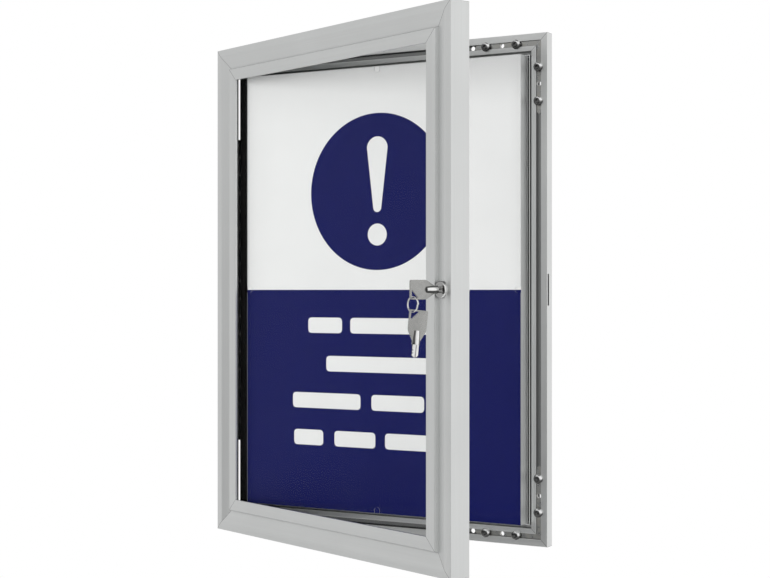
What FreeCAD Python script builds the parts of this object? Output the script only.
"""A lockable notice board for a wall: a shallow case, a raised display and a glazed door.

Axes: X to the right, Y into the wall, Z up. The origin is the centre of the case in the wall
plane. Lengths are in millimetres and angles in degrees. Heights called front are distances from
the wall towards the viewer, so a front of 15 is the plane Y = -15. The door's pieces are drawn
shut, and one placement then swings them all open about the hinge pin.
"""
import FreeCAD
import Part
import Sketcher
import collections
import math
import os
import re

SIZES = {
    # Poster and the raised display that carries it
    "poster_width": 420,
    "poster_height": 594,
    "poster_thickness": 0.3,
    "cover_thickness": 1.0,
    "notch_width": 8,
    "notch_depth": 8,
    "display_rise": 20,
    "display_side": 22,
    "tray_thickness": 1.0,
    "core_clearance": 0.5,
    "rim_gap": 1.1,
    "rim_drop": 2.0,
    # Case frame, measured inward from its outer edge and back from its face
    "side_gap": 5,
    "end_gap": 6.5,
    "case_depth": 15,
    "case_face": 22,
    "case_skin": 1.6,
    "outer_band": 8.8,
    "channel_width": 6.7,
    "channel_depth": 4.5,
    "channel_floor": 1.5,
    "latch_groove_width": 4,
    "latch_groove_depth": 4,
    "latch_groove_length": 40,
    "panel_thickness": 1.5,
    "panel_play": 0.1,
    "panel_engagement": 4,
    # Cover strip over the channel on the hinge side
    "cover_strip_inset": 3.5,
    "cover_strip_width": 16.5,
    "cover_strip_height": 5.7,
    "cover_strip_wall": 0.9,
    "cover_strip_end_gap": 8,
    # Corner brackets in the channel, and the holes along each leg
    "bracket_width": 6.3,
    "bracket_thickness": 2.5,
    "bracket_leg": 102,
    "near_screw_place": 43,
    "fixing_hole_place": 64,
    "far_screw_place": 86,
    "spare_hole_place": 107,
    "fixing_hole_radius": 3,
    "screw_radius": 3,
    "screw_head_radius": 6,
    "screw_head_height": 4.5,
    "screw_head_round": 3.2,
    "screw_tip": 2,
    "socket_radius": 2.3,
    "socket_depth": 2.4,
    # Door frame, measured inward from its outer edge and back from the plane of its ridge
    "door_opening": 21.2,
    "poster_overlap": 5.2,
    "door_face": 45.2,
    "door_depth": 30.1,
    "door_skin": 1.8,
    "door_edge_drop": 1.1,
    "ridge_place": 9.3,
    "ridge_round": 12,
    "facet_end": 27.6,
    "facet_drop": 6.2,
    "step_run": 1.8,
    "bezel_drop": 1.5,
    "bezel_round": 1.2,
    "lip_depth": 4.6,
    "lip_round": 0.6,
    "edge_round": 0.5,
    # Glazing
    "pane_thickness": 2.5,
    "pane_inset": 36,
    "gasket_wall": 0.5,
    "gasket_side": 0.8,
    "gasket_reach": 5,
    "bead_lap": 3,
    "bead_toe": 1.0,
    "bead_height": 4.4,
    "bead_crest_lap": 0.5,
    "rib_setback": 1.5,
    "rib_thickness": 1.8,
    "hook_reach": 1.2,
    "hook_thickness": 0.9,
    "snap_play": 0.1,
    # Corner cleats in the door's hollow edge, and the seal behind it
    "cleat_leg": 55,
    "cleat_play": 0.15,
    "cleat_end_gap": 1.0,
    "seal_width": 6.5,
    "seal_depth": 3.7,
    "seal_gap": 0.3,
    "seal_start": 15,
    # Strip hinge
    "hinge_gap": 4.3,
    "knuckle_radius": 1.85,
    "knuckle_length": 25,
    "knuckle_pairs": 8,
    "knuckle_play": 0.25,
    "hinge_pin_radius": 0.9,
    "hinge_pin_play": 0.05,
    "leaf_thickness": 0.9,
    "leaf_relief": 0.45,
    "case_leaf_reach": 12.5,
    "door_leaf_reach": 13,
    "case_rivet_front": 5,
    "door_rivet_setback": 8.5,
    "rivets_per_leaf": 6,
    "rivet_end_gap": 12.5,
    "rivet_radius": 1.5,
    "rivet_head_radius": 2.8,
    "rivet_head_height": 0.6,
    "rivet_tip": 1.0,
    # Lock
    "lock_inset": 16,
    "lock_head_radius": 10.2,
    "lock_head_proud": 2.2,
    "lock_head_round": 1.3,
    "barrel_radius": 8,
    "barrel_reach": 16.5,
    "barrel_play": 0.1,
    "lock_window": 28,
    "window_margin": 0.5,
    "washer_radius": 9.5,
    "washer_thickness": 1,
    "nut_width": 19,
    "nut_thickness": 5,
    "plug_radius": 6.5,
    "plug_play": 0.05,
    "plug_recess": 0.2,
    "plug_shoulder": 0.5,
    "drive_width": 5,
    "cam_hub_radius": 6.3,
    "cam_thickness": 2,
    "cam_radius": 9.3,
    "cam_web": 2,
    "cam_lead": 1.5,
    "cam_trail": 3.5,
    "cam_hook_reach": 5.8,
    "cam_rest_angle": -33,
    "cam_screw_radius": 2,
    "cam_screw_length": 6,
    "cam_screw_head_radius": 4,
    "cam_screw_head_height": 2.5,
    # Keys
    "key_thickness": 2,
    "blade_height": 7.8,
    "keyway_play": 0.15,
    "key_insertion": 10,
    "keyway_spare_depth": 1,
    "shank_length": 7.5,
    "neck_gap": 5,
    "neck_radius": 4.9,
    "neck_bow_radius": 3.6,
    "bow_length": 37.3,
    "bow_height": 22.7,
    "bow_shoulder": 13.6,
    "bow_round": 2,
    "blade_tip": 2.5,
    "tooth_pitch": 3.4,
    "tooth_depth": 1.4,
    "tooth_count": 2,
    "key_hole_radius": 2.2,
    "key_hole_inset": 4.2,
    "ring_radius": 9,
    "ring_wire_radius": 1,
    "ring_play": 0.3,
    "spare_key_tilt": 6,
    "spare_key_twist": 18,
}

# Overall sizes and places, worked out from the sizes above
CASE_WIDTH = "(poster_width + 2 * side_gap + 2 * case_face)"
CASE_HEIGHT = "(poster_height + 2 * end_gap + 2 * case_face)"
DOOR_WIDTH = "(poster_width - 2 * poster_overlap + 2 * door_face)"
DOOR_HEIGHT = "(poster_height - 2 * poster_overlap + 2 * door_face)"
DOOR_FRONT = "(case_depth + door_depth)"
DISPLAY_FRONT = "(case_depth + display_rise)"
DISPLAY_BACK = f"({DISPLAY_FRONT} - display_side)"
CHANNEL_MIDDLE = "(outer_band + channel_width / 2)"
CHANNEL_FRONT = "(case_depth - channel_depth)"
FLANGE = f"(({DOOR_WIDTH} - {CASE_WIDTH}) / 2 - hinge_gap)"
HINGE_X = f"(-({CASE_WIDTH} + hinge_gap) / 2)"
HINGE_LENGTH = "((2 * knuckle_pairs + 1) * knuckle_length)"
GASKET_BACK = "(lip_depth + 2 * gasket_wall + pane_thickness)"
LOCK_X = f"({DOOR_WIDTH} / 2 - lock_inset)"
PLUG_BACK = "(barrel_reach + plug_shoulder)"
KEY_END = f"({DOOR_FRONT} + lock_head_proud + shank_length + bow_length)"
KEY_LENGTH = "(bow_length + shank_length + key_insertion)"
KEY_HOLE_DROP = "(bow_height / 2 - key_hole_inset)"
WIRE_DROP = "(key_hole_radius - ring_wire_radius - ring_play)"
LATCH_GROOVE_FRONT = "(case_depth - case_skin)"

MITRE_OVERRUN = 1
FRAME_SIDES = ("left", "right", "top", "bottom")
SIDE_SIGNS = {"left": -1, "right": 1, "top": 1, "bottom": -1}
CORNERS = {"top_left": (-1, 1), "top_right": (1, 1), "bottom_left": (-1, -1), "bottom_right": (1, -1)}

Circle = collections.namedtuple("Circle", "x y radius")

document = FreeCAD.newDocument("notice_board")
sheet = document.addObject("Spreadsheet::Sheet", "sizes")
nodes = []


def fill_sheet():
    """Write every size into the sheet under its own alias."""
    for row, (alias, value) in enumerate(SIZES.items(), start=1):
        sheet.set(f"A{row}", str(value))
        sheet.setAlias(f"A{row}", alias)
    document.recompute()


def formula(text):
    """Return an expression in which each size is read from the sheet."""
    words = re.compile(r"[a-z][a-z_]*[a-z]")
    return words.sub(lambda word: f"sizes.{word[0]}" if word[0] in SIZES else word[0], text)


def bind(thing, place, text):
    """Tie one property or constraint to an expression of sizes."""
    thing.setExpression(place, formula(text))


def whole(alias):
    """Return a count from the sheet as a whole number."""
    return int(sheet.get(alias))


def moved(x="0", y="0", z="0", axis="0; 0; 1", angle="0"):
    """Return the expression of a placement: a turn about an axis, then a move."""
    return f"placement(vector({x}; {y}; {z}); rotation(vector({axis}); {angle}))"


HINGE_TURN = moved(HINGE_X, "-case_depth", angle="-door_opening")
DOOR_SWING = f"{HINGE_TURN} * {moved(f'-{HINGE_X}', 'case_depth')}"


def keep(name, thing, placement=None):
    """Name a finished sub-part and, where it rides on the door, swing it open."""
    thing.Label = name
    if placement:
        bind(thing, "Placement", placement)
    nodes.append(thing)
    return thing


def new_body(name):
    """Start a sub-part that is built up from sketches."""
    body = document.addObject("PartDesign::Body", f"{name}_body")
    body.Label = name
    return body


def set_point(sketch, geometry, position, point):
    """Fix one point of a sketch at two expressions from the sketch's origin."""
    for kind, text in zip(("DistanceX", "DistanceY"), point):
        start = sketch.getPoint(geometry, position)
        value = start.x if kind == "DistanceX" else start.y
        constraint = Sketcher.Constraint(kind, -1, 1, geometry, position, value)
        bind(sketch, f"Constraints[{sketch.addConstraint(constraint)}]", text)


def add_polygon(sketch, points):
    """Draw a closed polygon, started as a regular one that the constraints then pull in place."""
    count = len(points)
    turns = [2 * math.pi * index / count for index in range(count)]
    ring = [FreeCAD.Vector(100 * math.cos(turn), 100 * math.sin(turn), 0) for turn in turns]
    first = sketch.GeometryCount
    for index in range(count):
        sketch.addGeometry(Part.LineSegment(ring[index], ring[(index + 1) % count]), False)
    for index in range(count):
        following = first + (index + 1) % count
        sketch.addConstraint(Sketcher.Constraint("Coincident", first + index, 2, following, 1))
    for index, point in enumerate(points):
        set_point(sketch, first + index, 1, point)


def add_circle(sketch, circle):
    """Draw a circle with its centre and radius tied to expressions."""
    index = sketch.addGeometry(Part.Circle(FreeCAD.Vector(1, 1, 0), FreeCAD.Vector(0, 0, 1), 1), False)
    set_point(sketch, index, 3, (circle.x, circle.y))
    radius = sketch.addConstraint(Sketcher.Constraint("Radius", index, 1))
    bind(sketch, f"Constraints[{radius}]", circle.radius)


def draw(body, plane, loops, away="0"):
    """Return a sketch of loops on an origin plane of the body, moved along the plane's normal."""
    sketch = body.newObject("Sketcher::SketchObject", f"{body.Label}_{plane.lower()}_sketch")
    faces = [face for face in body.Origin.OriginFeatures if face.Role == f"{plane}_Plane"]
    sketch.AttachmentSupport = [(faces[0], "")]
    sketch.MapMode = "FlatFace"
    bind(sketch, "AttachmentOffset.Base.z", away)
    for loop in loops:
        if isinstance(loop, Circle):
            add_circle(sketch, loop)
        else:
            add_polygon(sketch, loop)
    return sketch


def pad(body, sketch, length, symmetric=False):
    """Raise a sketch along its plane's normal, or equally to both sides of it."""
    feature = body.newObject("PartDesign::Pad", f"{body.Label}_pad")
    feature.Profile = sketch
    feature.SideType = "Symmetric" if symmetric else "One side"
    bind(feature, "Length", length)
    return feature


def pocket(body, sketch, length=None, forward=False):
    """Cut a sketch through everything, or to a depth against or along its plane's normal."""
    feature = body.newObject("PartDesign::Pocket", f"{body.Label}_pocket")
    feature.Profile = sketch
    if length is None:
        feature.Type = "ThroughAll"
        feature.SideType = "Symmetric"
    else:
        feature.Reversed = forward
        bind(feature, "Length", length)
    return feature


def round_edges(body, feature, chosen, radius):
    """Round the edges of a feature that the given test chooses."""
    document.recompute()
    edges = [f"Edge{number}" for number, edge in enumerate(feature.Shape.Edges, start=1) if chosen(edge)]
    fillet = body.newObject("PartDesign::Fillet", f"{body.Label}_fillet")
    fillet.Base = (feature, edges)
    bind(fillet, "Radius", radius)
    return fillet


def straight_through(sketch, corners):
    """Return a test for the padded edges that start at numbered corners of a sketch."""
    document.recompute()
    placement = sketch.Placement
    lines = []
    for corner in corners:
        point = placement.multVec(sketch.getPoint(corner, 1))
        normal = placement.Rotation.multVec(FreeCAD.Vector(0, 0, 1))
        lines.append(Part.Line(point, point + normal).toShape(-10000, 10000))

    def chosen(edge):
        if len(edge.Vertexes) < 2:
            return False
        return any(all(line.distToShape(end)[0] < 0.001 for end in edge.Vertexes) for line in lines)

    return chosen


def at_height(level):
    """Return a test for the closed edges that lie flat at one height."""

    def chosen(edge):
        box = edge.BoundBox
        return edge.isClosed() and abs(box.ZMin - level) < 0.001 and abs(box.ZMax - level) < 0.001

    return chosen


def at_face(level):
    """Return a test for the closed edges that lie flat in one plane parallel to the wall."""

    def chosen(edge):
        box = edge.BoundBox
        return edge.isClosed() and abs(box.YMin - level) < 0.001 and abs(box.YMax - level) < 0.001

    return chosen


def box(name, width, height, front, thickness, carried_by=None):
    """Return a box parallel to the wall, centred on the origin, whose back is at a front."""
    solid = document.addObject("Part::Box", f"{name}_box")
    bind(solid, "Length", width)
    bind(solid, "Width", thickness)
    bind(solid, "Height", height)
    place = moved(f"-({width}) / 2", f"-({front}) - ({thickness})", f"-({height}) / 2")
    bind(solid, "Placement", f"{carried_by} * {place}" if carried_by else place)
    return solid


def cut(name, base, tool):
    """Return one solid less another."""
    result = document.addObject("Part::Cut", f"{name}_cut")
    result.Base = base
    result.Tool = tool
    return result


def group(name, master, places, placement=None):
    """Keep copies of one fastener, at a list of placements, as one sub-part."""
    copies = []
    for place in places:
        copy = document.addObject("App::Link", f"{name}_copy")
        copy.LinkedObject = master
        copy.LinkTransform = True
        bind(copy, "Placement", place)
        copies.append(copy)
    compound = document.addObject("Part::Compound", f"{name}_group")
    compound.Links = copies
    return keep(name, compound, placement)


# Frames: four mitred lengths of one section

def inward(side, extent, inset):
    """Return the coordinate that lies an inset inside one edge of an extent."""
    return f"{SIDE_SIGNS[side]} * (({extent}) / 2 - ({inset}))"


def rectangle(x_range, y_range):
    """Return the four corners of a rectangle between two pairs of expressions."""
    (left, right), (low, high) = x_range, y_range
    return [(left, low), (right, low), (right, high), (left, high)]


def mitre_triangles(side, width, height, face):
    """Return the two triangles that a 45 degree cut takes off the ends of one frame side."""
    triangles = []
    outer = f"-{MITRE_OVERRUN}"
    inner = f"({face}) + {MITRE_OVERRUN}"
    for end in ("left", "right") if side in ("top", "bottom") else ("top", "bottom"):
        along_x, along_z = (end, side) if side in ("top", "bottom") else (side, end)
        far = (outer, inner) if side in ("top", "bottom") else (inner, outer)
        insets = ((outer, outer), (inner, inner), far)
        triangles.append([(inward(along_x, width, x), inward(along_z, height, z)) for x, z in insets])
    return triangles


def frame_side(name, side, width, height, face, loops, rounds=()):
    """Return the body of one mitred side, its section given as (inset, front) loops.

    The rounds are pairs of a radius and the corners of the first loop that it rounds.
    """
    body = new_body(name)
    level = side in ("top", "bottom")
    if level:
        section = [[(f"-({front})", inward(side, height, inset)) for inset, front in loop] for loop in loops]
    else:
        section = [[(inward(side, width, inset), f"-({front})") for inset, front in loop] for loop in loops]
    sketch = draw(body, "YZ" if level else "XY", section)
    bar = pad(body, sketch, width if level else height, symmetric=True)
    for radius, corners in rounds:
        bar = round_edges(body, bar, straight_through(sketch, corners), radius)
    pocket(body, draw(body, "XZ", mitre_triangles(side, width, height, face)))
    return body


def corner_outline(signs, width, height, near, thick, leg):
    """Return the outline of an L whose outer sides lie an inset inside a frame's corner."""
    across, up = signs
    far = f"({near}) + ({thick})"
    insets = ((near, near), (leg, near), (leg, far), (far, far), (far, leg), (near, leg))
    return [(f"{across} * ({width} / 2 - ({x}))", f"{up} * ({height} / 2 - ({z}))") for x, z in insets]


# Case

def case_section():
    """Return the case's section: face with a bracket channel, a thick outer edge and a panel rebate."""
    back_skin = "case_depth - case_skin"
    groove_back = f"{LATCH_GROOVE_FRONT} - latch_groove_width"
    web = "latch_groove_depth + channel_floor"
    channel_end = "outer_band + channel_width"
    floor_back = f"{CHANNEL_FRONT} - channel_floor"
    block = "case_face - panel_engagement - case_skin"
    return [
        ("0", "case_depth"),
        ("outer_band", "case_depth"),
        ("outer_band", CHANNEL_FRONT),
        (channel_end, CHANNEL_FRONT),
        (channel_end, "case_depth"),
        ("case_face", "case_depth"),
        ("case_face", "panel_thickness"),
        ("case_face - panel_engagement", "panel_thickness"),
        ("case_face - panel_engagement", "0"),
        (block, "0"),
        (block, "panel_thickness + case_skin"),
        ("case_face - case_skin", "panel_thickness + case_skin"),
        ("case_face - case_skin", back_skin),
        (f"{channel_end} + case_skin", back_skin),
        (f"{channel_end} + case_skin", floor_back),
        ("outer_band - case_skin", floor_back),
        ("outer_band - case_skin", back_skin),
        (web, back_skin),
        (web, f"{groove_back} - channel_floor"),
        ("case_skin", f"{groove_back} - channel_floor"),
        ("case_skin", "0"),
        ("0", "0"),
    ]


def channel_holes(side):
    """Return the screw and fixing holes along the channel of one side of the case."""
    level = side in ("top", "bottom")
    places = [("near_screw_place", "screw_radius"), ("far_screw_place", "screw_radius"),
              ("fixing_hole_place", "fixing_hole_radius")]
    if level:
        places.append(("spare_hole_place", "fixing_hole_radius"))
    holes = []
    for place, radius in places:
        for end in ("left", "right") if level else ("top", "bottom"):
            if level:
                centre = (inward(end, CASE_WIDTH, place), inward(side, CASE_HEIGHT, CHANNEL_MIDDLE))
            else:
                centre = (inward(side, CASE_WIDTH, CHANNEL_MIDDLE), inward(end, CASE_HEIGHT, place))
            holes.append(Circle(*centre, radius))
    return holes


def rivet_heights():
    """Return the heights of the rivets of one hinge leaf, spread evenly along it."""
    count = whole("rivets_per_leaf")
    span = f"({HINGE_LENGTH} - 2 * rivet_end_gap)"
    return [f"({span} * ({index} / ({count} - 1) - 0.5))" for index in range(count)]


def build_case_frame():
    """Make the four sides of the case, with a slot in the right one for the lock's cam."""
    rounds = [("edge_round", (0, 1, 4, 5, 21))]
    for side in FRAME_SIDES:
        kind = "rail" if side in ("top", "bottom") else "stile"
        body = frame_side(f"case_{side}_{kind}", side, CASE_WIDTH, CASE_HEIGHT, "case_face",
                          [case_section()], rounds)
        pocket(body, draw(body, "XZ", channel_holes(side)))
        if side == "left":
            holes = [Circle("-case_rivet_front", height, "rivet_radius") for height in rivet_heights()]
            wall = draw(body, "YZ", holes, away=f"-{CASE_WIDTH} / 2")
            pocket(body, wall, "case_skin", forward=True)
        if side == "right":
            slot = rectangle((f"-({LATCH_GROOVE_FRONT})", f"latch_groove_width - {LATCH_GROOVE_FRONT}"),
                             ("-latch_groove_length / 2", "latch_groove_length / 2"))
            pocket(body, draw(body, "YZ", [slot], away=f"{CASE_WIDTH} / 2"), "latch_groove_depth")
        keep(body.Label, body)


def build_brackets():
    """Make the four L-shaped brackets that join the case's sides in its channel."""
    near = f"({CHANNEL_MIDDLE} - bracket_width / 2)"
    for corner, signs in CORNERS.items():
        body = new_body(f"{corner}_bracket")
        outline = corner_outline(signs, CASE_WIDTH, CASE_HEIGHT, near, "bracket_width", "bracket_leg")
        sketch = draw(body, "XZ", [outline], away=CHANNEL_FRONT)
        bar = pad(body, sketch, "bracket_thickness")
        round_edges(body, bar, straight_through(sketch, (1, 2, 4, 5)), "bracket_width * 0.49")
        across, up = signs
        holes = []
        for place, radius in (("near_screw_place", "screw_radius"), ("far_screw_place", "screw_radius"),
                              ("fixing_hole_place", "fixing_hole_radius")):
            for x, z in ((place, CHANNEL_MIDDLE), (CHANNEL_MIDDLE, place)):
                holes.append(Circle(f"{across} * ({CASE_WIDTH} / 2 - {x})",
                                    f"{up} * ({CASE_HEIGHT} / 2 - {z})", radius))
        pocket(body, draw(body, "XZ", holes, away=CHANNEL_FRONT), "bracket_thickness", forward=True)
        keep(body.Label, body)


def build_hinge_side_cover():
    """Make the black cover strip that hides the channel and its screws on the hinge side."""
    body = new_body("hinge_side_cover")
    near = "cover_strip_inset"
    far = "cover_strip_inset + cover_strip_width"
    top = "case_depth + cover_strip_height"
    section = [
        (near, "case_depth"),
        (near, top),
        (far, top),
        (far, "case_depth"),
        (f"{far} - cover_strip_wall", "case_depth"),
        (f"{far} - cover_strip_wall", f"{top} - cover_strip_wall"),
        (f"{near} + cover_strip_wall", f"{top} - cover_strip_wall"),
        (f"{near} + cover_strip_wall", "case_depth"),
    ]
    loop = [(inward("left", CASE_WIDTH, inset), f"-({front})") for inset, front in section]
    sketch = draw(body, "XY", [loop])
    length = f"{CASE_HEIGHT} - 2 * cover_strip_end_gap"
    blank = pad(body, sketch, length, symmetric=True)
    round_edges(body, blank, straight_through(sketch, (1, 2)), "cover_strip_wall")
    keep(body.Label, body)


def hexagon(radius, across_x=False):
    """Return a hexagon about the origin with the given flat-to-centre distance."""
    corners = []
    for index in range(6):
        angle = 60 * index + (30 if across_x else 0)
        reach = f"({radius}) / cos(30)"
        corners.append((f"{reach} * cos({angle})", f"{reach} * sin({angle})"))
    return corners


def build_bracket_screws():
    """Make the domed socket screws whose heads bridge the case's channel."""
    screw = new_body("bracket_screw")
    shank = "channel_depth + channel_floor + screw_tip"
    pad(screw, draw(screw, "XY", [Circle("0", "0", "screw_radius")], away=f"-({shank})"), shank)
    head = pad(screw, draw(screw, "XY", [Circle("0", "0", "screw_head_radius")]), "screw_head_height")
    document.recompute()
    top = head.Shape.BoundBox.ZMax
    round_edges(screw, head, at_height(top), "screw_head_round")
    pocket(screw, draw(screw, "XY", [hexagon("socket_radius")], away="screw_head_height"), "socket_depth")
    places = []
    for across, up in CORNERS.values():
        for place in ("near_screw_place", "far_screw_place"):
            for x, z in ((place, CHANNEL_MIDDLE), (CHANNEL_MIDDLE, place)):
                places.append(moved(f"{across} * ({CASE_WIDTH} / 2 - {x})", "-case_depth",
                                    f"{up} * ({CASE_HEIGHT} / 2 - {z})", "1; 0; 0", "90"))
    group("bracket_screws", screw, places)


def build_display():
    """Make the back panel, the base tray, the core, the display tray and what it shows."""
    hidden = "2 * (case_face - panel_engagement + panel_play)"
    panel = box("back_panel", f"{CASE_WIDTH} - {hidden}", f"{CASE_HEIGHT} - {hidden}",
                "0", "panel_thickness")
    keep("back_panel", panel)

    rim_width = "poster_width + 2 * rim_gap"
    rim_height = "poster_height + 2 * rim_gap"
    rim_front = "case_depth - rim_drop"
    outside = box("base_tray_outside", f"{rim_width} + 2 * tray_thickness",
                  f"{rim_height} + 2 * tray_thickness", "panel_thickness", f"{rim_front} - panel_thickness")
    inside = box("base_tray_inside", rim_width, rim_height, "panel_thickness + tray_thickness",
                 f"{rim_front} - panel_thickness")
    keep("base_tray", cut("base_tray", outside, inside))

    inner_width = "poster_width - 2 * tray_thickness"
    inner_height = "poster_height - 2 * tray_thickness"
    core_back = "panel_thickness + tray_thickness"
    core = box("panel_core", f"{inner_width} - 2 * core_clearance", f"{inner_height} - 2 * core_clearance",
               core_back, f"{DISPLAY_FRONT} - tray_thickness - ({core_back})")
    keep("panel_core", core)

    shell = box("display_tray_outside", "poster_width", "poster_height", DISPLAY_BACK, "display_side")
    hollow = box("display_tray_inside", inner_width, inner_height, f"{DISPLAY_BACK} - tray_thickness",
                 "display_side")
    keep("display_tray", cut("display_tray", shell, hollow))
    keep("poster", box("poster", "poster_width", "poster_height", DISPLAY_FRONT, "poster_thickness"))


def build_cover_sheet():
    """Make the clear sheet over the poster, with a round-ended notch in each edge."""
    body = new_body("cover_sheet")
    front = f"{DISPLAY_FRONT} + poster_thickness"
    half = ("poster_width / 2", "poster_height / 2")
    sheet_outline = rectangle((f"-{half[0]}", half[0]), (f"-{half[1]}", half[1]))
    pad(body, draw(body, "XZ", [sheet_outline], away=front), "cover_thickness")
    radius = "notch_width / 2"
    straight = "(notch_depth - notch_width / 2)"
    slots = []
    ends = []
    for sign in (-1, 1):
        inner = [f"{sign} * ({extent} - {straight})" for extent in half]
        outer = [f"{sign} * ({extent} + {radius})" for extent in half]
        slots.append(rectangle((inner[0], outer[0]), (f"-{radius}", radius)))
        slots.append(rectangle((f"-{radius}", radius), (inner[1], outer[1])))
        ends.append(Circle(inner[0], "0", radius))
        ends.append(Circle("0", inner[1], radius))
    pocket(body, draw(body, "XZ", slots, away=front))
    pocket(body, draw(body, "XZ", ends, away=front))
    keep("cover_sheet", body)


# Door

def bevel(inset):
    """Return how far the door's outer bevel lies behind its ridge at an inset."""
    return f"(door_edge_drop * (1 - ({inset}) / ridge_place))"


def facet(inset):
    """Return how far the door's sloping facet lies behind its ridge at an inset."""
    return f"(facet_drop * (({inset}) - ridge_place) / (facet_end - ridge_place))"


def door_section():
    """Return the door's section as an outer loop and the loop of its hollow edge."""
    pocket_side = "pane_inset - gasket_side"
    rib_outer = "(facet_end - rib_setback)"
    rib_inner = f"{rib_outer} + rib_thickness"
    hook = f"{GASKET_BACK} + bead_height + snap_play"
    outer = [
        ("0", "door_edge_drop"),
        ("ridge_place", "0"),
        ("facet_end", "facet_drop"),
        ("facet_end + step_run", "bezel_drop"),
        ("door_face", "bezel_drop"),
        ("door_face", "lip_depth"),
        (pocket_side, "lip_depth"),
        (pocket_side, GASKET_BACK),
        (rib_inner, GASKET_BACK),
        (rib_inner, hook),
        (f"{rib_inner} + hook_reach", hook),
        (f"{rib_inner} + hook_reach", f"{hook} + hook_thickness"),
        (rib_outer, f"{hook} + hook_thickness"),
        (rib_outer, f"{facet(rib_outer)} + door_skin"),
        (FLANGE, f"{facet(FLANGE)} + door_skin"),
        (FLANGE, "door_depth"),
        ("0", "door_depth"),
    ]
    chamber_end = f"({FLANGE} - door_skin)"
    chamber = [
        ("door_skin", f"{bevel('door_skin')} + door_skin"),
        (chamber_end, f"{bevel(chamber_end)} + door_skin"),
        (chamber_end, "door_depth - door_skin"),
        ("door_skin", "door_depth - door_skin"),
    ]
    return [[(inset, f"{DOOR_FRONT} - ({depth})") for inset, depth in loop] for loop in (outer, chamber)]


def washer_seat():
    """Return how far the lock washer lies behind the door's ridge."""
    return f"({facet('lock_inset + washer_radius')} + door_skin)"


def bore_for_lock(body):
    """Cut the barrel hole in the door's face and the window that clears nut and cam."""
    hole = Circle(LOCK_X, "0", "barrel_radius + barrel_play")
    pocket(body, draw(body, "XZ", [hole]))
    sweep = "sqrt((cam_radius + cam_web / 2) ^ 2 + cam_hook_reach ^ 2)"
    insets = (f"lock_inset - {sweep} - window_margin", f"{FLANGE} + window_margin")
    depths = (washer_seat(), "door_depth + window_margin")
    window = rectangle([inward("right", DOOR_WIDTH, inset) for inset in insets],
                       [f"-({DOOR_FRONT} - ({depth}))" for depth in depths])
    cutter = pocket(body, draw(body, "XY", [window]), "lock_window")
    cutter.SideType = "Symmetric"


def build_door_frame():
    """Make the four sides of the door."""
    rounds = [("edge_round", (0, 16)), ("ridge_round", (1,)), ("bezel_round", (3,)),
              ("min(lip_round; 0.8 * (lip_depth - bezel_drop))", (4,))]
    for side in FRAME_SIDES:
        kind = "rail" if side in ("top", "bottom") else "stile"
        body = frame_side(f"door_{side}_{kind}", side, DOOR_WIDTH, DOOR_HEIGHT, "door_face",
                          door_section(), rounds)
        if side == "right":
            bore_for_lock(body)
        if side == "left":
            front = "-(case_depth + door_rivet_setback)"
            holes = [Circle(front, height, "rivet_radius") for height in rivet_heights()]
            wall = draw(body, "YZ", holes, away=f"-{DOOR_WIDTH} / 2 + {FLANGE}")
            pocket(body, wall, "door_skin")
        keep(body.Label, body, DOOR_SWING)


def build_cleats():
    """Make the four L-shaped cleats pressed into the door's hollow edge at its corners."""
    near = "door_skin + cleat_play"
    thick = f"{FLANGE} - 2 * door_skin - 2 * cleat_play"
    back = f"({DOOR_FRONT} - door_depth + door_skin + cleat_end_gap)"
    depth = "door_depth - door_edge_drop - 2 * door_skin - 2 * cleat_end_gap"
    for corner, signs in CORNERS.items():
        body = new_body(f"{corner}_cleat")
        outline = corner_outline(signs, DOOR_WIDTH, DOOR_HEIGHT, near, thick, "cleat_leg")
        pad(body, draw(body, "XZ", [outline], away=back), depth)
        keep(body.Label, body, DOOR_SWING)


def build_glazing():
    """Make the pane, the gasket round its edge and the four beads behind it."""
    pane_width = f"{DOOR_WIDTH} - 2 * pane_inset"
    pane_height = f"{DOOR_HEIGHT} - 2 * pane_inset"
    pane_back = f"{DOOR_FRONT} - lip_depth - gasket_wall - pane_thickness"
    gasket_front = f"{DOOR_FRONT} - {GASKET_BACK}"
    gasket_depth = "pane_thickness + 2 * gasket_wall"
    keep("glazing_pane", box("glazing_pane", pane_width, pane_height, pane_back, "pane_thickness",
                             carried_by=DOOR_SWING))

    outside = box("gasket_outside", f"{pane_width} + 2 * gasket_side", f"{pane_height} + 2 * gasket_side",
                  gasket_front, gasket_depth)
    inside = box("gasket_inside", f"{pane_width} - 2 * gasket_reach", f"{pane_height} - 2 * gasket_reach",
                 gasket_front, gasket_depth)
    seat = box("gasket_seat", pane_width, pane_height, pane_back, "pane_thickness")
    ring = cut("gasket_ring", outside, inside)
    keep("glazing_gasket", cut("glazing_gasket", ring, seat), DOOR_SWING)

    start = "facet_end - rib_setback + rib_thickness + snap_play"
    section = [
        (start, GASKET_BACK),
        ("pane_inset + bead_lap", GASKET_BACK),
        ("pane_inset + bead_lap", f"{GASKET_BACK} + bead_toe"),
        ("pane_inset + bead_crest_lap", f"{GASKET_BACK} + bead_height"),
        (start, f"{GASKET_BACK} + bead_height"),
    ]
    loop = [(inset, f"{DOOR_FRONT} - ({depth})") for inset, depth in section]
    for side in FRAME_SIDES:
        body = frame_side(f"{side}_glazing_bead", side, DOOR_WIDTH, DOOR_HEIGHT, "door_face", [loop])
        keep(body.Label, body, DOOR_SWING)


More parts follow.
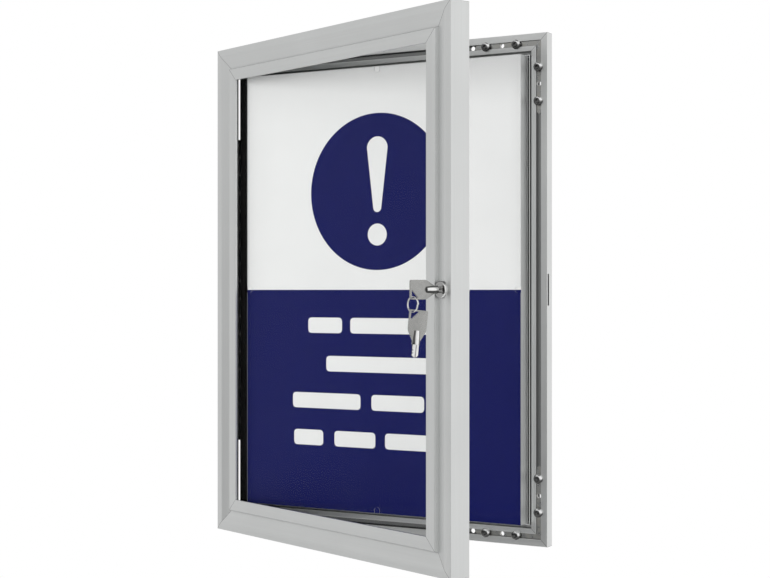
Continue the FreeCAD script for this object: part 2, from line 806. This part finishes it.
def build_seals():
    """Make the seal behind the door: one L above the lock and one below it."""
    start = f"-{DOOR_WIDTH} / 2 + {FLANGE} + seal_start"
    side = f"{DOOR_WIDTH} / 2 - {FLANGE}"
    end = f"({DOOR_HEIGHT} / 2 - {FLANGE})"
    lock_end = "(lock_window / 2)"
    for name, up in (("upper", 1), ("lower", -1)):
        body = new_body(f"{name}_door_seal")
        outline = [
            (start, f"{up} * {end}"),
            (side, f"{up} * {end}"),
            (side, f"{up} * {lock_end}"),
            (f"{side} - seal_width", f"{up} * {lock_end}"),
            (f"{side} - seal_width", f"{up} * ({end} - seal_width)"),
            (start, f"{up} * ({end} - seal_width)"),
        ]
        pad(body, draw(body, "XZ", [outline], away="case_depth + seal_gap"), "seal_depth")
        keep(body.Label, body, DOOR_SWING)


# Hinge

def build_leaf(name, strip, bore, first_notch, count, rivet_front, placement=None):
    """Make one hinge leaf: a strip with knuckles, notched where the other leaf's knuckles go."""
    body = new_body(name)
    pad(body, draw(body, "XY", [strip]), HINGE_LENGTH, symmetric=True)
    knuckle = Circle(HINGE_X, "-case_depth", "knuckle_radius")
    pad(body, draw(body, "XY", [knuckle]), HINGE_LENGTH, symmetric=True)
    pocket(body, draw(body, "XY", [Circle(HINGE_X, "-case_depth", bore)]))
    holes = [Circle(f"-{rivet_front}", height, "rivet_radius") for height in rivet_heights()]
    pocket(body, draw(body, "YZ", holes))
    reach = "(knuckle_radius + leaf_relief)"
    height = "knuckle_length + 2 * knuckle_play"
    low = f"-{HINGE_LENGTH} / 2 + ({first_notch}) * knuckle_length - knuckle_play"
    across = (f"-case_depth - {reach}", f"-case_depth + {reach}")
    notch = rectangle(across, (low, f"{low} + {height}"))
    cutter = pocket(body, draw(body, "YZ", [notch]))
    pattern = body.newObject("PartDesign::LinearPattern", f"{name}_notches")
    pattern.Originals = [cutter]
    axes = [axis for axis in body.Origin.OriginFeatures if axis.Role == "Z_Axis"]
    pattern.Direction = (axes[0], [""])
    pattern.Mode = "Extent"
    bind(pattern, "Length", f"2 * ({count} - 1) * knuckle_length")
    bind(pattern, "Occurrences", count)
    body.Tip = pattern
    keep(name, body, placement)


def build_hinge():
    """Make the two leaves of the strip hinge, its pin and the rivets of each leaf."""
    case_side = f"-{CASE_WIDTH} / 2"
    door_side = f"{HINGE_X} - hinge_gap / 2"
    door_rivet_front = "(case_depth + door_rivet_setback)"
    case_strip = rectangle((f"{case_side} - leaf_thickness", case_side),
                           ("-case_depth", "-case_depth + case_leaf_reach"))
    door_strip = rectangle((door_side, f"{door_side} + leaf_thickness"),
                           ("-case_depth - door_leaf_reach", "-case_depth"))
    build_leaf("case_hinge_leaf", case_strip, "hinge_pin_radius", "1", "knuckle_pairs",
               "case_rivet_front")
    build_leaf("door_hinge_leaf", door_strip, "hinge_pin_radius + hinge_pin_play", "0",
               "knuckle_pairs + 1", door_rivet_front, DOOR_SWING)

    pin = document.addObject("Part::Cylinder", "hinge_pin_cylinder")
    bind(pin, "Radius", "hinge_pin_radius")
    bind(pin, "Height", HINGE_LENGTH)
    bind(pin, "Placement", moved(HINGE_X, "-case_depth", f"-{HINGE_LENGTH} / 2"))
    keep("hinge_pin", pin)

    for leaf, skin, x, front, angle, placement in (
            ("case", "case_skin", f"{case_side} - leaf_thickness", "case_rivet_front", "-90", None),
            ("door", "door_skin", f"{door_side} + leaf_thickness", door_rivet_front, "90", DOOR_SWING)):
        rivet = new_body(f"{leaf}_rivet")
        shank = f"leaf_thickness + {skin} + rivet_tip"
        pad(rivet, draw(rivet, "XY", [Circle("0", "0", "rivet_radius")], away=f"-({shank})"), shank)
        head = pad(rivet, draw(rivet, "XY", [Circle("0", "0", "rivet_head_radius")]), "rivet_head_height")
        document.recompute()
        round_edges(rivet, head, at_height(head.Shape.BoundBox.ZMax), "rivet_head_height * 0.8")
        places = [moved(x, f"-{front}", height, "0; 1; 0", angle) for height in rivet_heights()]
        group(f"{leaf}_leaf_rivets", rivet, places, placement)


# Lock and keys

def behind(depth):
    """Return the front of a plane that lies a depth behind the door's ridge."""
    return f"({DOOR_FRONT} - ({depth}))"


def about_lock(reach, lead):
    """Return the point at a reach and a sideways lead from the lock's axis, at the cam's angle."""
    return (f"{LOCK_X} + ({reach}) * cos(cam_rest_angle) - ({lead}) * sin(cam_rest_angle)",
            f"({reach}) * sin(cam_rest_angle) + ({lead}) * cos(cam_rest_angle)")


def disc(radius):
    """Return a circle about the lock's axis."""
    return Circle(LOCK_X, "0", radius)


def build_lock_body():
    """Make the housing, the washer and the nut that stay still in the door."""
    housing = new_body("lock_housing")
    head = pad(housing, draw(housing, "XZ", [disc("lock_head_radius")], away=behind("facet_drop")),
               "facet_drop + lock_head_proud")
    document.recompute()
    round_edges(housing, head, at_face(head.Shape.BoundBox.YMin), "lock_head_round")
    below = [("0", "door_edge_drop"), ("ridge_place", "0"), ("facet_end", "facet_drop"),
             ("facet_end", "barrel_reach"), ("0", "barrel_reach")]
    outline = [(inward("right", DOOR_WIDTH, inset), f"-{behind(depth)}") for inset, depth in below]
    under_head = pocket(housing, draw(housing, "XY", [outline]), "2 * lock_head_radius + window_margin")
    under_head.SideType = "Symmetric"
    pad(housing, draw(housing, "XZ", [disc("barrel_radius")], away=behind("barrel_reach")), "barrel_reach")
    pocket(housing, draw(housing, "XZ", [disc("plug_radius + plug_play")]))
    keep("lock_housing", housing, DOOR_SWING)

    washer = new_body("lock_washer")
    washer_back = f"{washer_seat()} + washer_thickness"
    pad(washer, draw(washer, "XZ", [disc("washer_radius"), disc("barrel_radius")], away=behind(washer_back)),
        "washer_thickness")
    keep("lock_washer", washer, DOOR_SWING)

    nut = new_body("lock_nut")
    corners = [(f"{LOCK_X} + {x}", z) for x, z in hexagon("nut_width / 2", across_x=True)]
    nut_back = f"{washer_back} + nut_thickness"
    pad(nut, draw(nut, "XZ", [corners, disc("barrel_radius")], away=behind(nut_back)), "nut_thickness")
    keep("lock_nut", nut, DOOR_SWING)


def build_plug():
    """Make the plug with its keyway, its square drive and the thread hole for the cam screw."""
    plug = new_body("lock_plug")
    pad(plug, draw(plug, "XZ", [disc("plug_radius")], away=behind(PLUG_BACK)),
        f"{PLUG_BACK} + lock_head_proud - plug_recess")
    half = "drive_width / 2"
    square = [about_lock(reach, lead) for reach, lead in
              (("-" + half, "-" + half), (half, "-" + half), (half, half), ("-" + half, half))]
    pad(plug, draw(plug, "XZ", [square], away=behind(f"{PLUG_BACK} + cam_thickness")), "cam_thickness")
    wide = "(key_thickness / 2 + keyway_play)"
    tall = "(blade_height / 2 + keyway_play)"
    keyway = rectangle((f"{LOCK_X} - {wide}", f"{LOCK_X} + {wide}"), (f"-{tall}", tall))
    pocket(plug, draw(plug, "XZ", [keyway], away=behind("-lock_head_proud")),
           "key_insertion + keyway_spare_depth")
    pocket(plug, draw(plug, "XZ", [disc("cam_screw_radius")], away=behind(f"{PLUG_BACK} + cam_thickness")),
           "cam_screw_length", forward=True)
    keep("lock_plug", plug, DOOR_SWING)


def build_cam():
    """Make the cranked cam: a plate, a web along the lock's axis and a hook at its end."""
    cam = new_body("lock_cam")
    inner = "(cam_radius - cam_web / 2)"
    outer = "(cam_radius + cam_web / 2)"
    plate_back = behind(f"{PLUG_BACK} + cam_thickness")
    groove_middle = f"({LATCH_GROOVE_FRONT} - latch_groove_width / 2)"
    hook_back = f"({groove_middle} - cam_thickness / 2)"

    def patch(reaches, leads):
        return [about_lock(reach, lead) for reach, lead in rectangle(reaches, leads)]

    arm = patch(("0", outer), ("-cam_trail", "cam_lead"))
    pad(cam, draw(cam, "XZ", [disc("cam_hub_radius")], away=plate_back), "cam_thickness")
    pad(cam, draw(cam, "XZ", [arm], away=plate_back), "cam_thickness")
    web = patch((inner, outer), ("-cam_trail", "cam_lead"))
    pad(cam, draw(cam, "XZ", [web], away=hook_back), f"{plate_back} + cam_thickness - {hook_back}")
    hook = patch((inner, outer), ("-cam_trail", "cam_hook_reach"))
    pad(cam, draw(cam, "XZ", [hook], away=hook_back), "cam_thickness")
    half = "drive_width / 2"
    square = patch((f"-{half}", half), (f"-{half}", half))
    pocket(cam, draw(cam, "XZ", [square], away=plate_back), "cam_thickness", forward=True)
    keep("lock_cam", cam, DOOR_SWING)

    screw = new_body("cam_screw")
    pad(screw, draw(screw, "XZ", [disc("cam_screw_radius")], away=plate_back), "cam_screw_length")
    pad(screw, draw(screw, "XZ", [disc("cam_screw_head_radius")],
                    away=f"{plate_back} - cam_screw_head_height"), "cam_screw_head_height")
    keep("cam_screw", screw, DOOR_SWING)


def key_outline():
    """Return the key's outline as (distance from the bow's end, height) pairs, teeth below."""
    bow = "bow_height / 2"
    blade = "blade_height / 2"
    outline = [
        ("0", bow),
        ("bow_length - bow_shoulder", bow),
        ("bow_length", blade),
        (f"{KEY_LENGTH} - blade_tip", blade),
        (KEY_LENGTH, "blade_height / 2 - blade_tip"),
        (KEY_LENGTH, "-blade_height / 2 + blade_tip"),
        (f"{KEY_LENGTH} - blade_tip", f"-{blade}"),
    ]
    for tooth in range(whole("tooth_count")):
        end = f"({KEY_LENGTH} - blade_tip - ({tooth} + 0.25) * tooth_pitch)"
        outline += [
            (end, f"-{blade}"),
            (f"{end} - tooth_pitch * 0.25", f"-{blade} + tooth_depth"),
            (f"{end} - tooth_pitch * 0.5", f"-{blade} + tooth_depth"),
            (f"{end} - tooth_pitch * 0.75", f"-{blade}"),
        ]
    outline += [("bow_length", f"-{blade}"), ("bow_length - bow_shoulder", f"-{bow}"), ("0", f"-{bow}")]
    return outline


def add_neck(key, place):
    """Add the tapered round neck between a key's bow and the part that goes into the plug."""
    start = "bow_length - bow_shoulder"
    end = "bow_length + shank_length - neck_gap"
    corners = ((start, "0"), (end, "0"), (end, "neck_radius"), (start, "neck_bow_radius"))
    sketch = draw(key, "YZ", [[place(along, out) for along, out in corners]], away=key_plane(key))
    neck = key.newObject("PartDesign::Revolution", f"{key.Label}_neck")
    neck.Profile = sketch
    neck.ReferenceAxis = (sketch, ["Edge1"])
    neck.Angle = 360


def key_plane(key):
    """Return the place along X of the middle of a key's plate."""
    return LOCK_X if key.Label == "key" else "0"


def build_keys():
    """Make the key in the lock, the ring that hangs from it and the spare key on the ring."""
    key = new_body("key")

    def in_lock(along, out):
        return f"({along}) - {KEY_END}", out

    outline = [in_lock(length, height) for length, height in key_outline()]
    hole = Circle(f"key_hole_inset - {KEY_END}", f"-{KEY_HOLE_DROP}", "key_hole_radius")
    sketch = draw(key, "YZ", [outline, hole], away=f"{LOCK_X} - key_thickness / 2")
    blank = pad(key, sketch, "key_thickness")
    corners = (0, 1, len(outline) - 2, len(outline) - 1)
    round_edges(key, blank, straight_through(sketch, corners), "bow_round")
    add_neck(key, in_lock)
    keep("key", key, DOOR_SWING)

    ring = document.addObject("Part::Torus", "key_ring_torus")
    bind(ring, "Radius1", "ring_radius")
    bind(ring, "Radius2", "ring_wire_radius")
    ring_drop = f"({KEY_HOLE_DROP} + {WIRE_DROP} + ring_radius)"
    hole_y = f"(key_hole_inset - {KEY_END})"
    ring_place = moved(LOCK_X, hole_y, f"-{ring_drop}", "1; 0; 0", "90")
    keep("key_ring", ring, f"{DOOR_SWING} * {ring_place}")

    spare = new_body("spare_key")

    def on_ring(along, out):
        return f"{out} + {KEY_HOLE_DROP}", f"key_hole_inset - ({along})"

    outline = [on_ring(length, height) for length, height in key_outline()]
    sketch = draw(spare, "YZ", [outline, Circle("0", "0", "key_hole_radius")], away="-key_thickness / 2")
    blank = pad(spare, sketch, "key_thickness")
    round_edges(spare, blank, straight_through(sketch, corners), "bow_round")
    add_neck(spare, on_ring)
    spare_drop = f"({ring_drop} + ring_radius + {WIRE_DROP})"
    hung = (f"{moved(LOCK_X, hole_y, f'-{spare_drop}', angle='-spare_key_twist')}"
            f" * {moved(axis='1; 0; 0', angle='-spare_key_tilt')}")
    keep("spare_key", spare, f"{DOOR_SWING} * {hung}")


def check_document():
    """Stop if any object failed, any cut missed or any sub-part is not a valid closed solid."""
    document.recompute()
    for thing in document.Objects:
        faults = {"Invalid", "Error"} & set(thing.State)
        if faults:
            raise RuntimeError(f"{thing.Label} failed: {thing.State}")
        if thing.TypeId == "PartDesign::Pocket" and thing.BaseFeature:
            if thing.Shape.Volume >= thing.BaseFeature.Shape.Volume - 0.001:
                raise RuntimeError(f"{thing.Label} cuts nothing")
    for node in nodes:
        shape = node.Shape
        if shape.isNull() or not shape.isValid() or not shape.Solids:
            raise RuntimeError(f"{node.Label} is not a valid solid")


def export():
    """Write each sub-part to its own file."""
    os.makedirs("parts", exist_ok=True)
    for node in nodes:
        node.Shape.exportStep(os.path.join("parts", f"{node.Label}.step"))
        box_size = node.Shape.BoundBox
        print(f"{node.Label}: {len(node.Shape.Solids)} solid, {node.Shape.Volume / 1000:.2f} cm3, "
              f"{box_size.XLength:.1f} x {box_size.YLength:.1f} x {box_size.ZLength:.1f}")


fill_sheet()
build_case_frame()
build_brackets()
build_bracket_screws()
build_hinge_side_cover()
build_display()
build_cover_sheet()
build_door_frame()
build_cleats()
build_glazing()
build_seals()
build_hinge()
build_lock_body()
build_plug()
build_cam()
build_keys()
check_document()
export()
